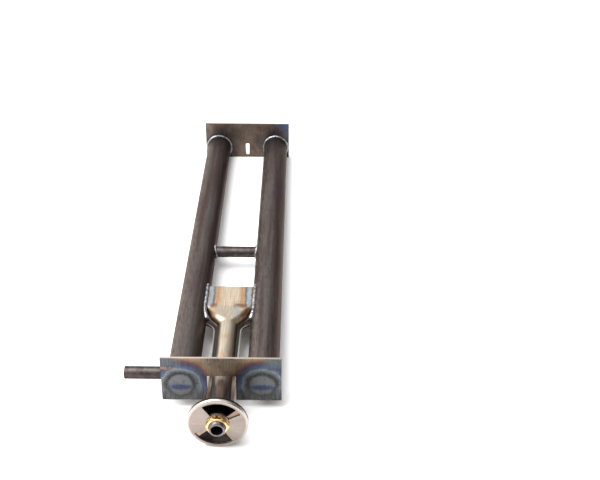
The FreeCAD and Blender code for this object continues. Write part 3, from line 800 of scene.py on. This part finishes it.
venturi = {
    "sheet": 1.2, "fold": 1.1, "points": 44, "flangePoints": 5, "finePoints": 400, "endBend": 3.0,
    "endFlange": 25.0, "endHeights": (4.0, 3.0, 2.1, 1.5), "gap": 0.02,
    "rings": ((mouthY, 34, 1.5), (34, 39.1, 0.5), (41, 148, 4), (148, 189.5, 0.9)),  # first y, last y, step
    "places": (mouthY, 30, 36, 42, 48, 100, 156, 161, 167, 177, 188.6, boxEnd),
    "wide": (12.4, 11.1, 10.2, 9.67, 9.5, 9.84, 10.2, 13.0, 17.5, 21.8, 26.6, 26.6),
    "high": (12.4, 11.1, 10.2, 9.67, 9.5, 9.84, 10.2, 10.3, 9.9, 9.1, 8.2, 8.2),
    "corner": (12.4, 11.1, 10.2, 9.67, 9.5, 9.84, 10.2, 9.8, 8.6, 7.2, 3.2, 3.0),
}


def eased(places, values, at):
    # a monotone cubic through the given values
    places, values = np.array(places, float), np.array(values, float)
    runs = np.diff(places)
    slopes = np.diff(values) / runs
    tangents = np.zeros(len(places))
    for n in range(1, len(places) - 1):
        if slopes[n - 1] * slopes[n] > 0:
            first, last = 2 * runs[n] + runs[n - 1], runs[n] + 2 * runs[n - 1]
            tangents[n] = (first + last) / (first / slopes[n - 1] + last / slopes[n])
    n = min(max(int(np.searchsorted(places, at)) - 1, 0), len(runs) - 1)
    t = (at - places[n]) / runs[n]
    return ((1 + 2 * t) * (1 - t) ** 2 * values[n] + t * (1 - t) ** 2 * runs[n] * tangents[n]
            + t ** 2 * (3 - 2 * t) * values[n + 1] + t ** 2 * (t - 1) * runs[n] * tangents[n + 1])


def pathLengths(path):
    # the way walked to each point of a path
    return np.concatenate([[0], np.cumsum(np.linalg.norm(np.diff(path, axis=0), axis=1))])


def evenly(path, count):
    # points at even spacing along a path
    path = np.array(path, float)
    walked = pathLengths(path)
    wanted = np.linspace(0, walked[-1], count)
    return np.stack([np.interp(wanted, walked, path[:, axis]) for axis in range(path.shape[1])], axis=1)


def halfSection(wide, high, corner, flange, lift):
    # right half of a stamping's outer skin: flange edge, fold, side, corner, top
    corner, fine = min(corner, wide, high), venturi["finePoints"]
    body = [(wide, 0.0), (wide, high - corner)]
    body += [(wide - corner + corner * math.cos(angle), high - corner + corner * math.sin(angle))
             for angle in np.linspace(0, tau / 4, 40)]
    body = evenly(body + [(0.0, high)], fine)
    rising = np.maximum.accumulate(body[:, 1])
    meet = int(np.searchsorted(rising, lift))  # where the side rises past the flange
    meetX = body[min(meet, fine - 1)][0]
    fold = venturi["fold"] * min(1.0, lift / venturi["sheet"])
    edge = np.linspace((flange, lift), (min(meetX + fold, flange), lift), venturi["flangePoints"])
    walked = pathLengths(body[meet:])[1:] if meet < fine - 2 else np.array([1])
    after = min(meet + int(np.searchsorted(walked, fold)), fine - 3)
    turn = np.array((meetX, lift))
    bendPath = [bow(edge[-1], turn, body[after], t) for t in np.linspace(0, 1, 7)]
    rest = evenly(body[after:], venturi["points"])
    return np.concatenate([edge[:-1], bendPath[:-1], rest])


def flangeAt(y):
    # how far the flanges reach from the middle: a slow taper, then a round flare to the box
    start, flare, radius = flange["fromY"], flange["flareY"], flange["flareRadius"]
    if y > flare:
        return flange["flareHalf"] + radius - math.sqrt(radius ** 2 - min(y - flare, flange["flareReach"]) ** 2)
    return flange["half"] + (flange["flareHalf"] - flange["half"]) * (y - start) / (flare - start)


def stamping(name, side):
    reach, endFlange, sheet = venturi["endBend"], venturi["endFlange"], venturi["sheet"]
    sections = []
    for y in np.concatenate([np.arange(*span) for span in (*venturi["rings"], (192, boxEnd - reach, 4))]):
        wide, high, corner = (eased(venturi["places"], venturi[key], y) for key in ("wide", "high", "corner"))
        grown = min(max((y - 36) / 2.5, 0), 1)  # the flanges start behind the mouth
        grown = math.sqrt(1 - (1 - grown) ** 2)
        lift = sheet * min(grown * 1.5, 1)
        flange = wide + (flangeAt(y) - wide) * grown
        sections.append((y, halfSection(wide, high, corner, flange, lift)))
    wide, high = venturi["wide"][-1], venturi["high"][-1]
    for angle in np.linspace(0, tau / 4, 8):
        inset = reach * (1 - math.cos(angle))
        sections.append((boxEnd - reach + reach * math.sin(angle),
                         halfSection(wide - inset, high - inset, 3.0, endFlange, sheet)))
    for height in venturi["endHeights"]:
        sections.append((boxEnd, halfSection(wide - reach, height, 1.4, endFlange, sheet)))
    rows = []
    for y, section in sections:
        mirrored = [(-x, z) for x, z in section[:-1]]
        rows.append([(x, y, side * z) for x, z in mirrored + [tuple(spot) for spot in section[::-1]]])
    rows.append([(x, y, 0.0) for x, y, z in rows[-1]])
    if side < 0:
        rows = rows[::-1]
    shell = gridObject(name, rows, loopRows=False, loopColumns=False)
    tidyMesh(shell, recalculate=False)
    shell = tidyMesh(thickened(shell, sheet, even=False))
    for tube in (-1, 1):  # coped to the burner tubes
        rows = [[aboutY(tubeRadius + venturi["gap"], y, angle, tube * tubeX, tubeZ) for angle in ring(192)]
                for y in (tubeStart - 5, tubeEnd)]
        shell = cutBy(shell, tidyMesh(gridObject("envelope", rows, loopRows=False, caps=True)), "EXACT")
    return shell


for name, side, node in (("venturiTop", 1, "venturi_top_half"), ("venturiBottom", -1, "venturi_bottom_half")):
    complete(stamping(name, side), "burner", "venturi_steel", venturiSteel, node, angle=40)
print("venturi")


# Mixer bell, mixer face and air shutter

mixer = {"sheet": 1.4, "faceSheet": 1.3, "windowInner": 11.7, "windowOuter": 24.4, "windowAngle": 96,
         "shutterTurn": 14, "edge": 0.22, "step": 2, "bend": 2.2, "hole": 7.55}
holeRadius = mixer["hole"]
windowRadii = (mixer["windowInner"], 14, 17, 20, 22.6, mixer["windowOuter"])


def windowedSheet(name, rows, middles, sheet):
    # a round sheet, (radius, y) from its hole outwards, with a window about each middle angle
    step = mixer["step"]
    angles = [math.radians(step * number) for number in range(360 // step)]
    spots = [[aboutY(radius, y, angle) for angle in angles] for radius, y in rows]
    faces = []
    for number, face in enumerate(gridFaces(len(rows), len(angles), False, True)):
        row, column = divmod(number, len(angles))
        radius, angle = (rows[row][0] + rows[row + 1][0]) / 2, step * (column + 0.5)
        isOpen = mixer["windowInner"] < radius < mixer["windowOuter"] and any(
            abs((angle - middleAngle + 180) % 360 - 180) < mixer["windowAngle"] / 2 for middleAngle in middles)
        if not isOpen:
            faces.append(face[::-1])
    piece = newObject(name, np.array(spots).reshape(-1, 3), faces)
    return bevelled(thickened(piece, sheet), mixer["edge"], 3, 40)


bend = mixer["bend"]
shutterRows = [(radius, discLow.y) for radius in (holeRadius, 8.4, 9.8, *windowRadii, 25.4)]
shutterRows += [(discHigh.x - bend + bend * math.sin(angle), discLow.y + bend - bend * math.cos(angle))
                for angle in np.linspace(0, tau / 4, 9)]
shutterRows.append((discHigh.x, discHigh.y))
shutter = windowedSheet("airShutter", shutterRows, [side - mixer["shutterTurn"] for side in (90, 270)],
                        mixer["sheet"])
complete(shutter, "air_shutter", "shutter_steel", shutterSteel, "air_shutter")

faceRows = [(radius, faceLow.y) for radius in (holeRadius, 9.5, *windowRadii, faceHigh.x)]
face = windowedSheet("mixerFace", faceRows, (90, 270), mixer["faceSheet"])
complete(face, "burner", "mixer_steel", mixerSteel, "mixer_face")

bellShape = {"mouth": 25.975, "rim": 2.2, "neck": 13.9, "bore": 12.45, "neckY": 22.0, "boreY": 20.8}
bellLow, bellHigh = nodeBox("mixer_bell")
neck, bore = bellShape["neck"], bellShape["bore"]
bell = turned("mixerBell", rounded([
    (bellShape["mouth"], bellLow.y, 0.2), (bellHigh.x, bellLow.y, 0.2),
    (bellHigh.x, bellLow.y + bellShape["rim"], 0.5), (neck, bellShape["neckY"], 2.4), (neck, bellHigh.y, 0.5),
    (bore, bellHigh.y, 0.3), (bore, bellShape["boreY"], 1.5)]))
complete(bell, "burner", "bell_steel", bellSteel, "mixer_bell")
print("mixer")


# Gas fitting: spud, jet, lock nut and spring washer

fitting = {"bore": 5.6, "nose": 6.5, "noseY": 16.0, "jetSeat": 4.0, "jetSeatY": 20.0, "shoulder": 4.0,
           "shoulderBore": 6.2, "hexFlats": 19.0, "thread": 0.32, "threadRadius": 7.5, "pitch": 1.0,
           "nutFlats": 19.8, "nutFace": 8.7, "nutEdge": 1.7, "nutSoft": 0.3, "nutLead": 0.6,
           "jetBore": 1.1, "jetTip": 3.2, "washerHole": 7.8, "washerGap": 0.7 / 9.2}


def threadTree():
    tree, graph, given = newTree("screwThread", "Pitch", "Depth", "First Y", "Last Y", "Least Radius")
    place = graph.add("GeometryNodeInputPosition")
    x, y, z = graph.split(place)
    radius = graph.math("SQRT", x * x + z * z)
    turn = graph.math("ARCTAN2", z, x) / tau
    phase = graph.math("FRACT", y / given.out("Pitch") + turn + 10.0)
    wave = abs(phase * 2 - 1)  # 1 at a crest, 0 in a root
    run = graph.math("MINIMUM", y - given.out("First Y"), given.out("Last Y") - y)
    fade = graph.math("MULTIPLY", run / given.out("Pitch"), 1.4, clamp=True)
    outer = graph.math("GREATER_THAN", radius, given.out("Least Radius"))
    depth = (1 - wave) * given.out("Depth") * fade * outer
    inward = graph.add("ShaderNodeCombineXYZ", {}, {0: x * depth / radius * -1, 2: z * depth / radius * -1})
    cutThread = graph.add("GeometryNodeSetPosition", {}, {"Geometry": given, "Offset": inward})
    endTree(graph, cutThread, given)
    return tree


def hexRadius(flats, angle):
    return flats / 2 / math.cos(angle % (tau / 6) - tau / 12)


spudLow, spudHigh = nodeBox("orifice_spud")
threadRadius, shoulderY = fitting["threadRadius"], faceHigh.y
nose, seat, seatY = fitting["nose"], fitting["jetSeat"], fitting["jetSeatY"]
threadRows = int((shoulderY - 0.7 - spudLow.y) * 10)  # one row every 0.1
outline = [(fitting["bore"] + 0.3, spudLow.y), (threadRadius - 0.6, spudLow.y)]
outline += [(threadRadius, spudLow.y + 0.6 + 0.1 * number) for number in range(threadRows)]
outline += [(threadRadius, shoulderY), (nose, shoulderY + 0.2)]
outline += rounded([(nose, fitting["noseY"]), (nose, spudHigh.y, 0.4), (seat, spudHigh.y, 0.2), (seat, seatY),
                    (fitting["bore"], seatY), (fitting["bore"], spudLow.y + 0.3)])
spud = turned("spudBarrel", outline, 96)
spud = withTree(spud, threadTree(), {
    "Pitch": fitting["pitch"] * mm, "Depth": fitting["thread"] * mm, "First Y": (spudLow.y + 0.7) * mm,
    "Last Y": shoulderY * mm, "Least Radius": (nose + 0.6) * mm, "Material": fittingSteel})
shoulderRows, inside, shoulderEnd = [], fitting["shoulderBore"], shoulderY + fitting["shoulder"]
for share, y in ((0.0, shoulderY), (1.0, shoulderY), (1.0, shoulderEnd), (0.0, shoulderEnd)):
    shoulderRows.append([aboutY(inside + (hexRadius(fitting["hexFlats"], angle) - inside) * share, y, angle)
                         for angle in ring(96)])
shoulder = bevelled(tidyMesh(gridObject("spudShoulder", shoulderRows)), 0.25, 2, 45)
complete(joined("gasSpud", spud, shoulder), "burner", "fitting_steel", fittingSteel, "orifice_spud", angle=38)

jetLow, jetHigh = nodeBox("gas_jet")
bore = fitting["jetBore"]
jet = turned("gasJet", rounded([(bore, jetLow.y, 0.1), (jetHigh.x, jetLow.y, 0.3), (jetHigh.x, spudHigh.y, 0.2),
                                (fitting["jetTip"], jetHigh.y, 0.3), (bore, jetHigh.y, 0.15)]), 64)
complete(jet, "burner", "brass", brass, "gas_jet")

nutLow, nutHigh = nodeBox("lock_nut")
nutLength = nutHigh.y - nutLow.y
land, lead = fitting["nutFace"], fitting["nutLead"]
slope = fitting["nutEdge"] / (fitting["nutFlats"] / math.sqrt(3) + 0.1 - land)
nutRows = [[], [], [], [], [], [], [], []]
for angle in ring(180):
    reach = hexRadius(fitting["nutFlats"], angle)
    drop = slope * (reach - land)  # the corners are turned back
    front = ((holeRadius, lead), (holeRadius + lead, 0), (land, 0), (reach, drop))
    back = [(radius, nutLength - depth) for radius, depth in reversed(front)]
    for row, (radius, depth) in zip(nutRows, (*front, *back)):
        row.append(aboutY(radius, nutLow.y + depth, angle))
nut = bevelled(tidyMesh(gridObject("lockNut", nutRows)), fitting["nutSoft"], 3, 20)
complete(nut, "nut", "brass", brass, "lock_nut", angle=30)

washerLow, washerHigh = nodeBox("spring_washer")
hole, gap = fitting["washerHole"], math.asin(fitting["washerGap"])
section = rounded([(hole, washerLow.y, 0.15), (washerHigh.x, washerLow.y, 0.25),
                   (washerHigh.x, washerHigh.y, 0.25), (hole, washerHigh.y, 0.15)], 3)
washerRows = [[aboutY(radius, y, angle) for radius, y in section]
              for angle in np.linspace(tau / 4 + gap, tau / 4 + tau - gap, 140)]
washer = tidyMesh(gridObject("springWasher", washerRows, loopRows=False, caps=True))
complete(washer, "washer", "fitting_steel", temperedSteel, "spring_washer")
print("gas fitting")


# Weld beads: a rippled bead swept along each joint

bead = {"Step": 0.30 * mm, "Ripple Spacing": 1.9 * mm, "Ripple Depth": 0.20 * mm, "Lump Size": 0.35,
        "Lump Depth": 0.60 * mm}
welds = {  # a bead's radius, and how far its middle stands off the tube or pipe
    "plateRadius": 1.55, "plateLift": 0.75, "pipeRadius": 1.35, "pipeLift": 0.62, "boxRadius": 1.9,
    "boxPath": ((23.2, 167.5, 2.4), (24.5, 173.0, 5.4), (25.7, 180.6, 7.2), (25.9, 188.6, 7.9),
                (25.9, 200.0, 8.1), (25.9, 212.0, 8.1), (25.8, 225.2, 8.0))}


def captured(graph, geometry, given):
    # the geometry with a value stored on it, and that value's wire
    node = graph.tree.nodes.new("GeometryNodeCaptureAttribute")
    node.capture_items.new("FLOAT", "kept")
    graph.tree.links.new(geometry.socket, node.inputs["Geometry"])
    graph.tree.links.new(given.socket, node.inputs["kept"])
    return Wire(graph, node.outputs["Geometry"]), Wire(graph, node.outputs["kept"])


def beadTree():
    tree, graph, given = newTree("weldBead", *bead, "Seed")
    path = graph.add("GeometryNodeResampleCurve", {"mode": "LENGTH"}, {
        "Curve": given, "Length": given.out("Step")})
    circle = graph.add("GeometryNodeCurvePrimitiveCircle", {}, {"Resolution": 20, "Radius": 1.0})
    path, along = captured(graph, path, graph.add("GeometryNodeSplineParameter").out("Length"))
    circle, turn = captured(graph, circle, graph.add("GeometryNodeSplineParameter"))
    swept = graph.add("GeometryNodeCurveToMesh", {}, {
        "Curve": path, "Profile Curve": circle, "Fill Caps": True,
        "Scale": graph.add("GeometryNodeInputRadius")})
    crest = graph.math("SINE", turn * tau)
    phase = along / given.out("Ripple Spacing") + crest * crest * 0.45
    spot = graph.vector("MULTIPLY", graph.add("GeometryNodeInputPosition"), (1000, 1000, 1000))
    seed = given.out("Seed")
    spot = graph.vector("ADD", spot, graph.add("ShaderNodeCombineXYZ", {}, {0: seed, 1: seed}))
    slow = graph.noise(spot, given.out("Lump Size"), 3.0, 0.5)
    ripple = abs(graph.math("SINE", (phase + (slow - 0.5) * 1.6) * math.pi)) ** 0.6
    height = (ripple - 0.7) * given.out("Ripple Depth") + (slow - 0.5) * given.out("Lump Depth")
    offset = graph.vector("SCALE", graph.add("GeometryNodeInputNormal"))
    graph.tree.links.new(height.socket, offset.socket.node.inputs["Scale"])
    shaped = graph.add("GeometryNodeSetPosition", {}, {"Geometry": swept, "Offset": offset})
    endTree(graph, shaped, given)
    return tree


def weldAlong(name, node, path, radii, cyclic=False):
    curve = bpy.data.curves.new(name, "CURVE")
    curve.dimensions = "3D"
    spline = curve.splines.new("POLY")
    spline.points.add(len(path) - 1)
    for point, spot, radius in zip(spline.points, path, radii):
        point.co = (*[value * mm for value in spot], 1)
        point.radius = radius * mm
    spline.use_cyclic_u = cyclic
    settings = {**bead, "Seed": float(next(seeds)), "Material": weldMetal}
    piece = withTree(linked(name, curve), weldTree, settings)
    complete(piece, "burner", "weld_metal", weldMetal, node, angle=60)


def tapered(path, radius, blob=1.0):
    # round ends, with a thicker start where the arc was struck
    walked = pathLengths(np.array(path, float))
    radii = []
    for here in walked:
        end = min(here, walked[-1] - here) / radius
        roundEnd = math.sqrt(max(1 - (1 - min(end, 1)) ** 2, 0.0004))
        radii.append(radius * roundEnd * (1 + (blob - 1) * math.exp(-(here / (radius * 2.2)) ** 2)))
    return radii


weldTree = beadTree()
seeds = iter(range(11, 99, 7))
orbit, radius = tubeRadius + welds["plateLift"], welds["plateRadius"]
low = math.asin((tubeRadius - 1.6) / orbit)  # the beads stop short of the tubes' undersides
for sideName, side in (("left", -1), ("right", 1)):
    for endName, y, away in (("front", tubeStart, 1), ("rear", tubeEnd, -1)):
        path = [aboutY(orbit, y + away * 0.7, angle, side * tubeX, tubeZ)
                for angle in np.linspace(-low, math.pi + low, 260)]
        weldAlong(sideName + "Ring" + endName.capitalize(), "weld_%s_%s" % (endName, sideName), path,
                  tapered(path, radius))

lift = welds["pipeLift"]
orbit = pipeRadius + lift
for name, node, tube, inward, y in (("crossCollarLeft", "weld_cross_left", -1, 1, crossY),
                                    ("crossCollarRight", "weld_cross_right", 1, -1, crossY),
                                    ("lighterCollar", "weld_lighter", -1, -1, lighterY)):
    path = []
    for angle in ring(120):
        rise = orbit * math.sin(angle)
        x = tube * tubeX + inward * tubeFace(rise, tubeRadius + lift)
        path.append((x, y + orbit * math.cos(angle), tubeZ + rise))
    weldAlong(name, node, path, [welds["pipeRadius"]] * len(path), cyclic=True)

outs, places, heights = zip(*welds["boxPath"])
for sideName, side in (("left", -1), ("right", 1)):
    path = [(side * eased(places, outs, y), y, eased(places, heights, y))
            for y in np.linspace(places[0], places[-1], 200)]
    weldAlong("boxBead" + sideName.capitalize(), "weld_box_" + sideName, path,
              tapered(path, welds["boxRadius"], 1.5))
print("weld beads")


# Floor, light and camera

stage = {"floorAt": -0.028575, "floorTilt": 0.01965, "floorTouch": 0.0103, "floorReach": 4.0, "world": 1.2,
         "rightSide": (0.22, 0.21, 0.20), "leftSide": (1.9, 1.85, 1.8), "open": (0.9, 0.9, 0.9),
         "paper": ((0.90, 0.90, 0.90), (0.93, 0.93, 0.93))}
lights = {"key": ((-0.62, 0.1, 1.25), (0, 0.28, 0), 1.5, 36.0),  # place, target, size, power
          "fill": ((0.5, -0.6, 1.2), (0, 0.2, 0), 0.9, 3.0)}
view = {"lens": 59.8405, "sensor": 36, "place": (0.0734856, -0.6818472, 0.6294976),
        "turn": (58.16277, -0.493295, 0.232428)}


def paperLook(graph):
    tone = graph.noise(graph.place(), 0.01, 2.0, 0.5)
    return {"Base Color": graph.blend(tone, *stage["paper"]), "Metallic": 0.0, "Roughness": 0.9}


reach = stage["floorReach"]
sheet = bpy.data.meshes.new("floor")
sheet.from_pydata([(x, y, stage["floorAt"] + stage["floorTilt"] * (y - stage["floorTouch"])) for x, y in (
    (-reach, -reach), (reach, -reach), (reach, reach), (-reach, reach))], [], [(0, 1, 2, 3)])
sheet.materials.append(makeMaterial("paper", paperLook))
linked("floor", sheet)

world = bpy.data.worlds.new("studio")
bpy.context.scene.world = world
world.use_nodes = True
sky = Graph(world.node_tree)
toward = sky.split(sky.add("ShaderNodeTexCoord").out("Generated"))[0]
shade = sky.blend(sky.smooth(toward, 0.0, 0.65), (1.0, 1.0, 1.0), stage["rightSide"])
shade = sky.blend(sky.smooth(toward, -0.35, -0.85), shade, stage["leftSide"])
seen = sky.add("ShaderNodeLightPath").out("Is Camera Ray")
shade = sky.blend(seen, shade, stage["open"])  # the open background stays plain
background = world.node_tree.nodes["Background"]
world.node_tree.links.new(shade.socket, background.inputs["Color"])
background.inputs["Strength"].default_value = stage["world"]

for name, (spot, target, size, power) in lights.items():
    light = bpy.data.lights.new(name, "AREA")
    light.shape, light.size, light.energy = "DISK", size, power
    lamp = linked(name, light)
    lamp.location = spot
    lamp.rotation_euler = (Vector(target) - Vector(spot)).to_track_quat("-Z", "Y").to_euler()

cameraData = bpy.data.cameras.new("camera")
cameraData.lens, cameraData.sensor_width = view["lens"], view["sensor"]
camera = linked("camera", cameraData)
camera.location = view["place"]
camera.rotation_euler = [math.radians(angle) for angle in view["turn"]]
bpy.context.scene.camera = camera
bpy.context.scene.view_settings.view_transform = "Standard"
print("stage")
